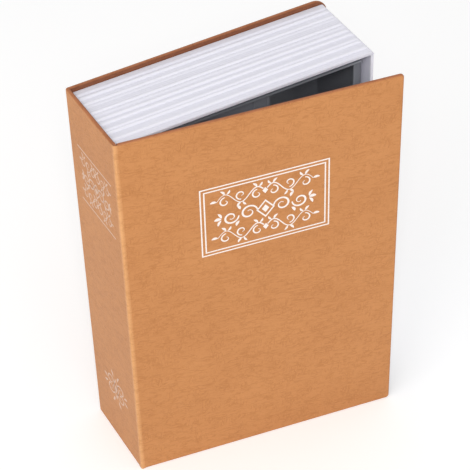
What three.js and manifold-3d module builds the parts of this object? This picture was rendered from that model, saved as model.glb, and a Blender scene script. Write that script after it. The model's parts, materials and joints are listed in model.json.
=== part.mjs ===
// A book safe: a locking steel tray hidden in a dummy book with a hinged front cover.
//
// Millimetres, +Z up. The closed book stands on its tail edge, spine towards -X, front cover
// towards -Y. The origin is under the middle of the whole part, at the height it stands on.
// The front cover and the steel lid turn about vertical axes at their spine side, and both
// are built in a group whose origin is that axis.

import * as THREE from 'three';
import { mergeVertices } from 'three/addons/utils/BufferGeometryUtils.js';
import Module from 'manifold-3d';

const wasm = await Module();
wasm.setup();

// Closed book
const HEIGHT = 240;
const WIDTH = 155;
const THICKNESS = 55;
const AJAR_DEG = 9.4;

// Cover panels: board in covering paper, with the paper turned in over the inner face
const PAPER = 0.4;
const BOARD = 0.8;
const TURN_IN = 14;
const FRONT_COVER_CORNER = 2;
const BACK_COVER_CORNER = 9;
const FOLD_RADIUS = 1;

// Clearances
const SEAT_GAP = 0.3;
const TURN_GAP = 0.4;
const FOLD_GAP = 0.3;

// Ribbed plastic page strips
const PAGE_WALL = 1.6;
const RIB_HEIGHT = 0.8;
const RIB_WIDTH = 2.4;
const RIB_SEGMENTS = 6;
const RIB_STEPS = [1.4, 6, 6.2, 3.3, 5.8, 4.4, 4.3, 2.8, 6.5, 2.7, 5.7, 1.9];
const HEAD_SQUARE = 2;
const FORE_SQUARE = 2.2;
const BLOCK_CORNER = 3.6;

// Steel tray
const TRAY_WALL = 1.2;
const TRAY_CORNER = 2.5;
const MOUTH_DEPTH = 7.5;
const TRAY_FORE_GAP = 1.2;
const TRAY_HEAD_GAP = 3.6;
const LIP_WIDTH = 4.4;
const LIP_END_RADIUS = 3;
const LIP_END_INSET = 1.5;

// Fixed plate that covers the spine side of the tray
const POCKET_WIDTH = 84;
const POCKET_SHEET = 1;
const POCKET_HEM_RADIUS = 1.1;
const POCKET_BEAD_RADIUS = 0.6;
const POCKET_BEAD_INSET = 9.6;
const POCKET_BEAD_SINK = 0.1;

// Lid: a flat sheet with a flange at its spine side and at its fore side
const LID_SHEET = 1;
const LID_EDGE_INSET = 0.4;
const LID_FLANGE_INSET = 4;
const LID_RECESS = 2;
const LID_CORNER = 2.5;
const LID_TURN_RATIO = 0.8;
const AXIS_FROM_SPINE = 6.9;
const AXIS_BEHIND_FACE = 0.3;

// Butt hinges of the lid
const BARREL_RADIUS = 1.7;
const PIN_RADIUS = 0.8;
const LEAF = 1;
const LEAF_HEIGHT = 36;
const FIXED_LEAF_REACH = 17;
const MOVING_LEAF_REACH = 18;
const HINGE_FROM_END = 44;
const LEAF_RIVET_INSET = 8;
const LEAF_RIVET_FROM_END = 4;
const RIVET_RADIUS = 1.5;
const RIVET_HEAD_RADIUS = 2.6;
const RIVET_HEAD = 0.9;
const RIVET_TAIL_TAPER = 0.8;

// Rivets that hold the tray to the back board
const TRAY_RIVET_RADIUS = 2;
const TRAY_RIVET_HEAD_RADIUS = 4;
const TRAY_RIVET_HEAD = 1.4;
const TRAY_RIVET_INSET = 22;

// Cam lock
const LOCK_FROM_EDGE = 16;
const BEZEL_RADIUS = 9.5;
const BEZEL = 1;
const LOCK_BARREL_RADIUS = 7.5;
const PLUG_RADIUS = 5;
const PLUG_TAIL_RADIUS = 2.6;
const KEYWAY_WIDTH = 1.3;
const KEYWAY_HEIGHT = 6.6;
const KEYWAY_DEPTH = 5;
const CAM_SHEET = 1.5;
const CAM_WIDTH = 9;
const CAM_HOOK = 2.1;
const CAM_LIP_GAP = 0.5;
const CAM_HUB_CORNER = 4.4;
const CAM_TIP_CORNER = 1.5;
const NUT_ACROSS_FLATS = 19;
const NUT = 2;
const SCREW_HEAD_RADIUS = 3.8;
const SCREW_HEAD = 1.3;
const SCREW_RADIUS = 1.2;
const SCREW_LENGTH = 4;
const SCREW_SLOT_WIDTH = 1;
const SCREW_SLOT_DEPTH = 0.6;

// Places that follow from the sizes above
const COVER = 2 * PAPER + 2 * SEAT_GAP + BOARD;
const SPINE_X = -WIDTH / 2;
const FORE_X = WIDTH / 2;
const FRONT_Y = -THICKNESS / 2;
const BACK_Y = THICKNESS / 2;
const FOLD_X = SPINE_X + COVER / 2;
const FOLD_Y = FRONT_Y + COVER / 2;
const COVER_START = FOLD_RADIUS + FOLD_GAP;
const SPINE_START = Math.hypot(COVER_START, COVER / 2) + FOLD_GAP;
const SPINE_INNER_X = SPINE_X + COVER;
const COVER_INNER_Y = FRONT_Y + COVER;
const BACK_INNER_Y = BACK_Y - COVER;

const BLOCK_FRONT_Y = COVER_INNER_Y + TURN_GAP;
const BLOCK_BACK_Y = BACK_INNER_Y - SEAT_GAP;
const BLOCK_SPINE_X = SPINE_INNER_X + SEAT_GAP;
const BLOCK_FORE_X = FORE_X - FORE_SQUARE;
const BLOCK_TOP_Z = HEIGHT - HEAD_SQUARE;
const BLOCK_BOTTOM_Z = HEAD_SQUARE;
const STRIP = PAGE_WALL + RIB_HEIGHT;
const HOLLOW_FORE_X = BLOCK_FORE_X - STRIP;
const HOLLOW_TOP_Z = BLOCK_TOP_Z - STRIP;
const HOLLOW_BOTTOM_Z = BLOCK_BOTTOM_Z + STRIP;

const LID_FACE_Y = COVER_INNER_Y + LID_RECESS;
const AXIS_X = SPINE_INNER_X + AXIS_FROM_SPINE;
const AXIS_Y = LID_FACE_Y + AXIS_BEHIND_FACE;
const TRAY_FRONT_Y = BLOCK_FRONT_Y + MOUTH_DEPTH;
const TRAY_SPINE_X = AXIS_X - BARREL_RADIUS + LEAF + SEAT_GAP;
const TRAY_FORE_X = HOLLOW_FORE_X - TRAY_FORE_GAP;
const TRAY_TOP_Z = HOLLOW_TOP_Z - TRAY_HEAD_GAP;
const TRAY_BOTTOM_Z = HOLLOW_BOTTOM_Z + TRAY_HEAD_GAP;
const TRAY_BACK_Y = BACK_INNER_Y - SEAT_GAP;
const TRAY_FLOOR_Y = TRAY_BACK_Y - TRAY_WALL;
const LIP_X = TRAY_FORE_X - LIP_WIDTH;

const LID_START = BARREL_RADIUS + TURN_GAP;
const LID_END = TRAY_FORE_X - AXIS_X;
const LID_OUTER = -AXIS_BEHIND_FACE;
const LID_INNER = LID_OUTER + LID_SHEET;
const LID_RIM = TRAY_FRONT_Y - SEAT_GAP - AXIS_Y;
const LID_TOP_Z = TRAY_TOP_Z - LID_EDGE_INSET;
const LID_BOTTOM_Z = TRAY_BOTTOM_Z + LID_EDGE_INSET;
const WALL_FRONT_Y = AXIS_Y + LID_INNER + SEAT_GAP;
const LOCK_X = TRAY_FORE_X - LOCK_FROM_EDGE - AXIS_X;
const LOCK_Z = HEIGHT / 2;
const LOCK_HOLE_RADIUS = LOCK_BARREL_RADIUS + SEAT_GAP;
const CAM_FRONT = TRAY_FRONT_Y + TRAY_WALL + CAM_LIP_GAP - AXIS_Y;
const LOCK_BARREL_END = CAM_FRONT - SEAT_GAP;
const CAM_LENGTH = LIP_X + CAM_HOOK - (AXIS_X + LOCK_X);
const HINGE_HEIGHTS = [TRAY_BOTTOM_Z + HINGE_FROM_END, TRAY_TOP_Z - HINGE_FROM_END];
const KNUCKLE = LEAF_HEIGHT / 3;
const BORE_RADIUS = PIN_RADIUS + SEAT_GAP;
const RIVET_HOLE_RADIUS = RIVET_RADIUS + SEAT_GAP;
const PAST = 1;

// Facets of round pieces
const BEAD_SEGMENTS = 12;
const RIVET_SEGMENTS = 14;
const RIVET_DOME_STEPS = 3;
const ROUND_SEGMENTS = 16;
const SHANK_SEGMENTS = 20;
const LOCK_SEGMENTS = 32;
const BEZEL_SEGMENTS = 40;
const CORNER_SEGMENTS = 6;

const MATERIALS = {
  coverPaper: { color: 0xcf915c, roughness: 0.62, metalness: 0 },
  greyBoard: { color: 0x9a948a, roughness: 0.9, metalness: 0 },
  endpaper: { color: 0xb06e4b, roughness: 0.75, metalness: 0 },
  whitePlastic: { color: 0xe9e9ee, roughness: 0.45, metalness: 0 },
  darkSteel: { color: 0x4c4e54, roughness: 0.5, metalness: 0.2 },
  zincSteel: { color: 0xb4b6ba, roughness: 0.35, metalness: 0.9 },
  nickel: { color: 0xc9c7c1, roughness: 0.22, metalness: 1 },
};

const group = new THREE.Group();

// A closed geometry as a solid that can be cut and joined
function solidOf(geometry) {
  geometry.deleteAttribute('normal');
  geometry.deleteAttribute('uv');
  const merged = mergeVertices(geometry, 1e-5);
  return new wasm.Manifold(
    new wasm.Mesh({
      numProp: 3,
      vertProperties: new Float32Array(merged.attributes.position.array),
      triVerts: new Uint32Array(merged.index.array),
    }),
  );
}

function geometryOf(solid) {
  const mesh = solid.getMesh();
  const geometry = new THREE.BufferGeometry();
  geometry.setAttribute('position', new THREE.BufferAttribute(mesh.vertProperties, 3));
  geometry.setIndex(new THREE.BufferAttribute(mesh.triVerts, 1));
  geometry.computeVertexNormals();
  return geometry;
}

function addPart(parent, name, solid, finish) {
  const mesh = new THREE.Mesh(geometryOf(solid), new THREE.MeshStandardMaterial(MATERIALS[finish]));
  mesh.name = name;
  parent.add(mesh);
  return mesh;
}

function box([x0, x1], [y0, y1], [z0, z1]) {
  const geometry = new THREE.BoxGeometry(x1 - x0, y1 - y0, z1 - z0);
  geometry.translate((x0 + x1) / 2, (y0 + y1) / 2, (z0 + z1) / 2);
  return solidOf(geometry);
}

function extruded(shape, length) {
  return new THREE.ExtrudeGeometry(shape, {
    depth: length,
    bevelEnabled: false,
    curveSegments: CORNER_SEGMENTS,
  });
}

// A flat plate whose outline lies in X and Z and whose thickness runs along Y
function plateAcrossY(shape, [y0, y1]) {
  const geometry = extruded(shape, y1 - y0);
  geometry.rotateX(Math.PI / 2);
  geometry.translate(0, y1, 0);
  return solidOf(geometry);
}

// A bar whose section lies in Y and Z and whose length runs along X
function barAlongX(shape, [x0, x1]) {
  const geometry = extruded(shape, x1 - x0);
  geometry.rotateX(Math.PI / 2);
  geometry.rotateZ(Math.PI / 2);
  geometry.translate(x0, 0, 0);
  return solidOf(geometry);
}

// A round bar between two places along one axis: 'x', 'y' or 'z'
function roundBar(axis, radius, [from, to], [a, b], segments = ROUND_SEGMENTS) {
  const geometry = new THREE.CylinderGeometry(radius, radius, to - from, segments);
  const middle = (from + to) / 2;
  if (axis === 'x') {
    geometry.rotateZ(Math.PI / 2);
    geometry.translate(middle, a, b);
  } else if (axis === 'y') {
    geometry.translate(a, middle, b);
  } else {
    geometry.rotateX(Math.PI / 2);
    geometry.translate(a, b, middle);
  }
  return solidOf(geometry);
}

// A rectangle with round corners; the radii go round from the low corner: left-low,
// right-low, right-high, left-high
function roundedRect([x0, x1], [y0, y1], radii) {
  const [a, b, c, d] = radii;
  const shape = new THREE.Shape();
  shape.moveTo(x0 + a, y0);
  shape.lineTo(x1 - b, y0);
  if (b > 0) shape.absarc(x1 - b, y0 + b, b, -Math.PI / 2, 0, false);
  shape.lineTo(x1, y1 - c);
  if (c > 0) shape.absarc(x1 - c, y1 - c, c, 0, Math.PI / 2, false);
  shape.lineTo(x0 + d, y1);
  if (d > 0) shape.absarc(x0 + d, y1 - d, d, Math.PI / 2, Math.PI, false);
  shape.lineTo(x0, y0 + a);
  if (a > 0) shape.absarc(x0 + a, y0 + a, a, Math.PI, 1.5 * Math.PI, false);
  return shape;
}

// One cover panel, lying in X and Z from its fold edge to its far edge. Its outer face is at
// y = outer and its thickness runs towards y * inward. The paper wraps the head, the tail and the
// far edge, whose corners have the given radius, and is turned in over the inner face.
function coverPanel([x0, x1], outer, inward, cornerRadius, farTurnIn) {
  const layer = (from, to) => {
    const a = outer + inward * from;
    const b = outer + inward * to;
    return [Math.min(a, b), Math.max(a, b)];
  };
  const outline = (inset, foldInset, farInset) => {
    const corner = Math.max(cornerRadius - inset, 0);
    return roundedRect([x0 + foldInset, x1 - farInset], [inset, HEIGHT - inset], [0, corner, corner, 0]);
  };
  const inset = PAPER + SEAT_GAP;
  const cavity = plateAcrossY(outline(PAPER, -PAST, PAPER), layer(PAPER, COVER - PAPER));
  const windowOutline = outline(TURN_IN, -PAST, farTurnIn);
  const window = plateAcrossY(windowOutline, layer(COVER - PAPER - SEAT_GAP, COVER + PAST));
  const skin = plateAcrossY(outline(0, 0, 0), layer(0, COVER)).subtract(cavity).subtract(window);
  const board = plateAcrossY(outline(inset, 0, inset), layer(inset, COVER - inset));
  const endpaperOutline = outline(TURN_IN + SEAT_GAP, 0, farTurnIn + SEAT_GAP);
  const endpaper = plateAcrossY(endpaperOutline, layer(COVER - PAPER, COVER));
  return { skin, board, endpaper };
}

// The outline of a ribbed strip: flat inside, and half-round ribs of unequal spacing outside.
// u runs over the block's thickness and v outwards, away from the hollow.
function ribbedOutline(u0, u1) {
  const total = RIB_STEPS.reduce((sum, step) => sum + step, 0);
  const scale = (u1 - u0) / total;
  const half = RIB_WIDTH / 2;
  const points = [new THREE.Vector2(u0, 0), new THREE.Vector2(u1, 0), new THREE.Vector2(u1, PAGE_WALL)];
  const centres = [];
  let u = u0;
  for (const step of RIB_STEPS.slice(0, -1)) {
    u += step * scale;
    centres.push(u);
  }
  for (const centre of centres.reverse()) {
    for (let i = 0; i <= RIB_SEGMENTS; i += 1) {
      const angle = (Math.PI * i) / RIB_SEGMENTS;
      const rise = RIB_HEIGHT * Math.sin(angle);
      points.push(new THREE.Vector2(centre + half * Math.cos(angle), PAGE_WALL + rise));
    }
  }
  points.push(new THREE.Vector2(u0, PAGE_WALL));
  return points;
}

// A rivet along +Y: a domed head, a shank of the given grip and an upset tail
function rivet(radius, headRadius, head, grip, tail) {
  const points = [new THREE.Vector2(0, -head)];
  for (let i = 1; i <= RIVET_DOME_STEPS; i += 1) {
    const angle = (Math.PI / 2) * (i / RIVET_DOME_STEPS);
    points.push(new THREE.Vector2(headRadius * Math.sin(angle), -head * Math.cos(angle)));
  }
  points.push(new THREE.Vector2(radius, 0));
  points.push(new THREE.Vector2(radius, grip));
  if (tail > 0) {
    points.push(new THREE.Vector2(headRadius, grip));
    points.push(new THREE.Vector2(headRadius * RIVET_TAIL_TAPER, grip + tail));
    points.push(new THREE.Vector2(0, grip + tail));
  } else {
    points.push(new THREE.Vector2(0, grip));
  }
  return solidOf(new THREE.LatheGeometry(points, RIVET_SEGMENTS));
}

function buildCase() {
  const back = coverPanel([SPINE_INNER_X + SEAT_GAP, FORE_X], BACK_Y, -1, BACK_COVER_CORNER, TURN_IN);
  const holes = trayRivetPlaces().map(([x, z]) =>
    roundBar('y', TRAY_RIVET_RADIUS + SEAT_GAP, [BACK_INNER_Y - PAST, BACK_Y - PAPER - SEAT_GAP / 2], [x, z]),
  );
  const drilled = (solid) => holes.reduce((cut, hole) => cut.subtract(hole), solid);
  addPart(group, 'back_cover_paper', back.skin, 'coverPaper');
  addPart(group, 'back_board', drilled(back.board), 'greyBoard');
  addPart(group, 'back_endpaper', drilled(back.endpaper), 'endpaper');

  // The spine panel is built along X, from its fold edge at 0 to its square corner with the
  // back cover, and turned to run along Y
  const spine = coverPanel([0, BACK_Y - FOLD_Y - SPINE_START], 0, -1, 0, COVER + SEAT_GAP);
  for (const [name, solid, finish] of [
    ['spine_paper', spine.skin, 'coverPaper'],
    ['spine_board', spine.board, 'greyBoard'],
    ['spine_lining', spine.endpaper, 'endpaper'],
  ]) {
    const mesh = addPart(group, name, solid, finish);
    mesh.rotation.z = Math.PI / 2;
    mesh.position.set(SPINE_X, FOLD_Y + SPINE_START, 0);
  }

  const fold = roundBar('z', FOLD_RADIUS, [0, HEIGHT], [FOLD_X, FOLD_Y]);
  addPart(group, 'cover_fold', fold, 'coverPaper');
}

function buildPages() {
  const outline = ribbedOutline(BLOCK_FRONT_Y, BLOCK_BACK_Y);
  const ends = [BLOCK_SPINE_X, BLOCK_FORE_X];
  const corner = BLOCK_CORNER;
  const block = plateAcrossY(
    roundedRect(ends, [BLOCK_BOTTOM_Z, BLOCK_TOP_Z], [0, corner, corner, 0]),
    [BLOCK_FRONT_Y - PAST, BLOCK_BACK_Y + PAST],
  );

  const top = outline.map((p) => new THREE.Vector2(p.x, HOLLOW_TOP_Z + p.y));
  const bottom = outline.map((p) => new THREE.Vector2(p.x, HOLLOW_BOTTOM_Z - p.y)).reverse();
  addPart(group, 'pages_head', barAlongX(new THREE.Shape(top), ends).intersect(block), 'whitePlastic');
  addPart(group, 'pages_tail', barAlongX(new THREE.Shape(bottom), ends).intersect(block), 'whitePlastic');

  const fore = outline.map((p) => new THREE.Vector2(HOLLOW_FORE_X + p.y, p.x)).reverse();
  const height = HOLLOW_TOP_Z - HOLLOW_BOTTOM_Z - 2 * SEAT_GAP;
  const geometry = extruded(new THREE.Shape(fore), height);
  geometry.translate(0, 0, HOLLOW_BOTTOM_Z + SEAT_GAP);
  addPart(group, 'pages_fore_edge', solidOf(geometry), 'whitePlastic');
}

function trayRivetPlaces() {
  const xs = [TRAY_SPINE_X + TRAY_RIVET_INSET, TRAY_FORE_X - TRAY_RIVET_INSET];
  const zs = [TRAY_BOTTOM_Z + TRAY_RIVET_INSET, TRAY_TOP_Z - TRAY_RIVET_INSET];
  return xs.flatMap((x) => zs.map((z) => [x, z]));
}

function leafRivetHeights(centre) {
  const reach = LEAF_HEIGHT / 2 - LEAF_RIVET_INSET;
  return [centre - reach, centre + reach];
}

function buildTray() {
  const corners = [TRAY_CORNER, TRAY_CORNER, TRAY_CORNER, TRAY_CORNER];
  const innerCorner = TRAY_CORNER - TRAY_WALL;
  const outer = plateAcrossY(
    roundedRect([TRAY_SPINE_X, TRAY_FORE_X], [TRAY_BOTTOM_Z, TRAY_TOP_Z], corners),
    [TRAY_FRONT_Y, TRAY_BACK_Y],
  );
  const inner = plateAcrossY(
    roundedRect(
      [TRAY_SPINE_X + TRAY_WALL, TRAY_FORE_X - TRAY_WALL],
      [TRAY_BOTTOM_Z + TRAY_WALL, TRAY_TOP_Z - TRAY_WALL],
      corners.map(() => innerCorner),
    ),
    [TRAY_FRONT_Y - PAST, TRAY_FLOOR_Y],
  );
  const lipRound = Math.min(LIP_END_RADIUS, LIP_WIDTH - TRAY_WALL);
  const lip = plateAcrossY(
    roundedRect(
      [LIP_X, TRAY_FORE_X - TRAY_WALL / 2],
      [TRAY_BOTTOM_Z + LIP_END_INSET, TRAY_TOP_Z - LIP_END_INSET],
      [lipRound, 0, 0, lipRound],
    ),
    [TRAY_FRONT_Y, TRAY_FRONT_Y + TRAY_WALL],
  );
  // The head and tail walls reach forward to the closed lid, and the fore wall folds in as a lip
  const wallEnds = [TRAY_SPINE_X + TRAY_CORNER, TRAY_FORE_X - TRAY_CORNER];
  const wall = (z) => box(wallEnds, [WALL_FRONT_Y, TRAY_FRONT_Y + PAST], [z, z + TRAY_WALL]);
  let tray = outer.subtract(inner).add(lip)
    .add(wall(TRAY_BOTTOM_Z))
    .add(wall(TRAY_TOP_Z - TRAY_WALL));
  for (const [x, z] of trayRivetPlaces()) {
    const radius = TRAY_RIVET_RADIUS + SEAT_GAP;
    tray = tray.subtract(roundBar('y', radius, [TRAY_FLOOR_Y - PAST, TRAY_BACK_Y + PAST], [x, z]));
  }
  for (const centre of HINGE_HEIGHTS) {
    for (const z of leafRivetHeights(centre)) {
      const spineWall = [TRAY_SPINE_X - PAST, TRAY_SPINE_X + TRAY_WALL + PAST];
      tray = tray.subtract(roundBar('x', RIVET_HOLE_RADIUS, spineWall, [fixedRivetY(), z]));
    }
  }
  addPart(group, 'steel_tray', tray, 'darkSteel');

  const grip = BACK_Y - PAPER - 2 * SEAT_GAP - TRAY_FLOOR_Y;
  trayRivetPlaces().forEach(([x, z], index) => {
    const solid = rivet(TRAY_RIVET_RADIUS, TRAY_RIVET_HEAD_RADIUS, TRAY_RIVET_HEAD, grip, 0);
    const mesh = addPart(group, `tray_rivet_${index + 1}`, solid, 'zincSteel');
    mesh.position.set(x, TRAY_FLOOR_Y - SEAT_GAP, z);
  });
}

function buildPocketPlate() {
  const left = TRAY_SPINE_X + TRAY_WALL + SEAT_GAP;
  const right = left + POCKET_WIDTH;
  const heights = [TRAY_BOTTOM_Z + TRAY_WALL + SEAT_GAP, TRAY_TOP_Z - TRAY_WALL - SEAT_GAP];
  const middle = TRAY_FRONT_Y + POCKET_SHEET / 2;
  const sheet = plateAcrossY(
    roundedRect([left, right - POCKET_HEM_RADIUS], heights, [LID_CORNER, 0, 0, LID_CORNER]),
    [TRAY_FRONT_Y, TRAY_FRONT_Y + POCKET_SHEET],
  );
  const hem = roundBar('z', POCKET_HEM_RADIUS, heights, [right - POCKET_HEM_RADIUS, middle]);
  const beadPlace = [right - POCKET_BEAD_INSET, TRAY_FRONT_Y + POCKET_BEAD_SINK];
  const bead = roundBar('z', POCKET_BEAD_RADIUS, heights, beadPlace, BEAD_SEGMENTS);
  addPart(group, 'pocket_plate', sheet.add(hem).add(bead), 'darkSteel');
}

// How far behind the lid's axis the rivets of the fixed leaves lie
function fixedRivetY() {
  return AXIS_Y + FIXED_LEAF_REACH - LEAF_RIVET_FROM_END;
}

// One hinge leaf in its own frame: the axis is the local Z axis, the leaf runs along +X and its
// sheet lies between y = face and y = face + LEAF. knuckles are the Z ranges that it holds.
function hingeLeaf(reach, face, knuckles, holes) {
  const half = LEAF_HEIGHT / 2;
  const clear = BARREL_RADIUS + TURN_GAP;
  let leaf = box([clear, reach], [face, face + LEAF], [-half, half]);
  for (const range of knuckles) {
    leaf = leaf.add(roundBar('z', BARREL_RADIUS, range, [0, 0]));
    leaf = leaf.add(box([0, clear + PAST], [face, face + LEAF], range));
  }
  leaf = leaf.subtract(roundBar('z', BORE_RADIUS, [-half - PAST, half + PAST], [0, 0]));
  for (const [x, z] of holes) {
    leaf = leaf.subtract(roundBar('y', RIVET_HOLE_RADIUS, [face - PAST, face + LEAF + PAST], [x, z]));
  }
  return leaf;
}

function buildFixedLeaves() {
  const half = LEAF_HEIGHT / 2;
  const gap = SEAT_GAP / 2;
  const knuckles = [
    [-half, -KNUCKLE / 2 - gap],
    [KNUCKLE / 2 + gap, half],
  ];
  const grip = LEAF + TRAY_WALL + 3 * SEAT_GAP;
  const reach = half - LEAF_RIVET_INSET;
  const rivetX = fixedRivetY() - AXIS_Y;
  HINGE_HEIGHTS.forEach((centre, index) => {
    const side = index === 0 ? 'lower' : 'upper';
    const holes = [-reach, reach].map((z) => [rivetX, z]);
    const leaf = hingeLeaf(FIXED_LEAF_REACH, BARREL_RADIUS - LEAF, knuckles, holes);
    const mesh = addPart(group, `fixed_leaf_${side}`, leaf, 'darkSteel');
    mesh.rotation.z = Math.PI / 2;
    mesh.position.set(AXIS_X, AXIS_Y, centre);

    const pin = roundBar('z', PIN_RADIUS, [-half, half], [0, 0]);
    addPart(group, `hinge_pin_${side}`, pin, 'zincSteel').position.set(AXIS_X, AXIS_Y, centre);

    leafRivetHeights(centre).forEach((z, number) => {
      const solid = rivet(RIVET_RADIUS, RIVET_HEAD_RADIUS, RIVET_HEAD, grip, RIVET_HEAD);
      const part = addPart(group, `fixed_leaf_rivet_${side}_${number + 1}`, solid, 'zincSteel');
      part.rotation.z = -Math.PI / 2;
      part.position.set(AXIS_X - BARREL_RADIUS - SEAT_GAP, fixedRivetY(), z);
    });
  });
}

function buildFrontCover() {
  const cover = new THREE.Group();
  cover.position.set(FOLD_X, FOLD_Y, 0);
  cover.rotation.z = THREE.MathUtils.degToRad(-AJAR_DEG);
  group.add(cover);

  const front = coverPanel([COVER_START, FORE_X - FOLD_X], -COVER / 2, 1, FRONT_COVER_CORNER, TURN_IN);
  addPart(cover, 'front_cover_paper', front.skin, 'coverPaper');
  addPart(cover, 'front_board', front.board, 'greyBoard');
  addPart(cover, 'front_endpaper', front.endpaper, 'endpaper');
}

function buildLid() {
  const lid = new THREE.Group();
  lid.position.set(AXIS_X, AXIS_Y, 0);
  lid.rotation.z = THREE.MathUtils.degToRad(-AJAR_DEG * LID_TURN_RATIO);
  group.add(lid);

  const rivetX = MOVING_LEAF_REACH - LEAF_RIVET_FROM_END;
  const leafFace = LID_INNER + SEAT_GAP;
  const corners = [LID_CORNER, LID_CORNER, LID_CORNER, LID_CORNER];
  const plate = plateAcrossY(
    roundedRect([LID_START, LID_END], [LID_BOTTOM_Z, LID_TOP_Z], corners),
    [LID_OUTER, LID_INNER],
  );
  const flangeHeights = [LID_BOTTOM_Z + LID_FLANGE_INSET, LID_TOP_Z - LID_FLANGE_INSET];
  const flange = (x) => box([x, x + LID_SHEET], [LID_INNER - LID_SHEET / 2, LID_RIM], flangeHeights);
  let sheet = plate.add(flange(LID_START)).add(flange(LID_END - LID_SHEET));
  for (const centre of HINGE_HEIGHTS) {
    const reach = LEAF_HEIGHT / 2 + SEAT_GAP;
    const notch = [centre - reach, centre + reach];
    sheet = sheet.subtract(box([0, LID_START + LID_SHEET + PAST], [LID_INNER, LID_RIM + PAST], notch));
    for (const z of leafRivetHeights(centre)) {
      const through = [LID_OUTER - PAST, LID_INNER + PAST];
      sheet = sheet.subtract(roundBar('y', RIVET_HOLE_RADIUS, through, [rivetX, z]));
    }
  }
  sheet = sheet.subtract(
    roundBar('y', LOCK_HOLE_RADIUS, [LID_OUTER - PAST, LID_INNER + PAST], [LOCK_X, LOCK_Z]),
  );
  addPart(lid, 'steel_lid', sheet, 'darkSteel');

  const middleKnuckle = [[-KNUCKLE / 2 + SEAT_GAP / 2, KNUCKLE / 2 - SEAT_GAP / 2]];
  const reach = LEAF_HEIGHT / 2 - LEAF_RIVET_INSET;
  const grip = LID_SHEET + LEAF + 3 * SEAT_GAP;
  HINGE_HEIGHTS.forEach((centre, index) => {
    const side = index === 0 ? 'lower' : 'upper';
    const holes = [-reach, reach].map((z) => [rivetX, z]);
    const leaf = hingeLeaf(MOVING_LEAF_REACH, leafFace, middleKnuckle, holes);
    addPart(lid, `lid_leaf_${side}`, leaf, 'darkSteel').position.set(0, 0, centre);
    leafRivetHeights(centre).forEach((z, number) => {
      const solid = rivet(RIVET_RADIUS, RIVET_HEAD_RADIUS, RIVET_HEAD, grip, RIVET_HEAD);
      const part = addPart(lid, `lid_leaf_rivet_${side}_${number + 1}`, solid, 'zincSteel');
      part.position.set(rivetX, LID_OUTER - SEAT_GAP, z);
    });
  });
  buildLock(lid);
}

function buildLock(lid) {
  const place = [LOCK_X, LOCK_Z];
  const bezelBack = LID_OUTER - SEAT_GAP;
  const bezelFront = bezelBack - BEZEL;
  const through = [bezelFront - PAST, LOCK_BARREL_END + PAST];
  const housing = roundBar('y', BEZEL_RADIUS, [bezelFront, bezelBack], place, BEZEL_SEGMENTS)
    .add(roundBar('y', LOCK_BARREL_RADIUS, [bezelFront + BEZEL / 2, LOCK_BARREL_END], place, LOCK_SEGMENTS))
    .subtract(roundBar('y', PLUG_RADIUS + SEAT_GAP, through, place, LOCK_SEGMENTS));
  addPart(lid, 'lock_housing', housing, 'nickel');

  const nutFront = LID_INNER + SEAT_GAP;
  const nutRadius = NUT_ACROSS_FLATS / Math.sqrt(3);
  const hexagon = 6;
  const nut = roundBar('y', nutRadius, [nutFront, nutFront + NUT], place, hexagon).subtract(
    roundBar('y', LOCK_HOLE_RADIUS, [nutFront - PAST, nutFront + NUT + PAST], place, LOCK_SEGMENTS),
  );
  addPart(lid, 'lock_nut', nut, 'zincSteel');

  const camBack = CAM_FRONT + CAM_SHEET;
  const tailEnd = camBack - SEAT_GAP;
  const keyway = box(
    [LOCK_X - KEYWAY_WIDTH / 2, LOCK_X + KEYWAY_WIDTH / 2],
    [bezelFront - PAST, bezelFront + KEYWAY_DEPTH],
    [LOCK_Z - KEYWAY_HEIGHT / 2, LOCK_Z + KEYWAY_HEIGHT / 2],
  );
  const screwHole = roundBar('y', SCREW_RADIUS + SEAT_GAP, [tailEnd - SCREW_LENGTH, tailEnd + PAST], place);
  const plug = roundBar('y', PLUG_RADIUS, [bezelFront, LOCK_BARREL_END], place, LOCK_SEGMENTS)
    .add(roundBar('y', PLUG_TAIL_RADIUS, [LOCK_BARREL_END - PAST, tailEnd], place, SHANK_SEGMENTS))
    .subtract(keyway)
    .subtract(screwHole);
  addPart(lid, 'lock_plug', plug, 'nickel');

  const half = CAM_WIDTH / 2;
  const outline = roundedRect(
    [LOCK_X - half, LOCK_X + half],
    [LOCK_Z - half, LOCK_Z + CAM_LENGTH],
    [CAM_HUB_CORNER, CAM_HUB_CORNER, CAM_TIP_CORNER, CAM_TIP_CORNER],
  );
  const cam = plateAcrossY(outline, [CAM_FRONT, camBack]).subtract(
    roundBar('y', PLUG_TAIL_RADIUS + SEAT_GAP, [CAM_FRONT - PAST, camBack + PAST], place, SHANK_SEGMENTS),
  );
  addPart(lid, 'lock_cam', cam, 'zincSteel');

  const headFront = camBack + SEAT_GAP;
  const headBack = headFront + SCREW_HEAD;
  const slot = box(
    [LOCK_X - SCREW_SLOT_WIDTH / 2, LOCK_X + SCREW_SLOT_WIDTH / 2],
    [headBack - SCREW_SLOT_DEPTH, headBack + PAST],
    [LOCK_Z - SCREW_HEAD_RADIUS - PAST, LOCK_Z + SCREW_HEAD_RADIUS + PAST],
  );
  const screw = roundBar('y', SCREW_HEAD_RADIUS, [headFront, headBack], place, SHANK_SEGMENTS)
    .add(roundBar('y', SCREW_RADIUS, [headFront - SCREW_LENGTH, headFront + PAST / 2], place))
    .subtract(slot);
  addPart(lid, 'cam_screw', screw, 'zincSteel');
}

buildCase();
buildPages();
buildTray();
buildPocketPlate();
buildFixedLeaves();
buildFrontCover();
buildLid();

// The ajar cover reaches further forward than the case, so the part is moved along Y until
// the middle of its outer size stands over the origin
const reach = new THREE.Box3().setFromObject(group);
group.position.y = -(reach.min.y + reach.max.y) / 2;

export default group;
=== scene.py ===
import json
import math
import random

import bmesh
import bpy
from mathutils import Matrix, Vector


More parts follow.
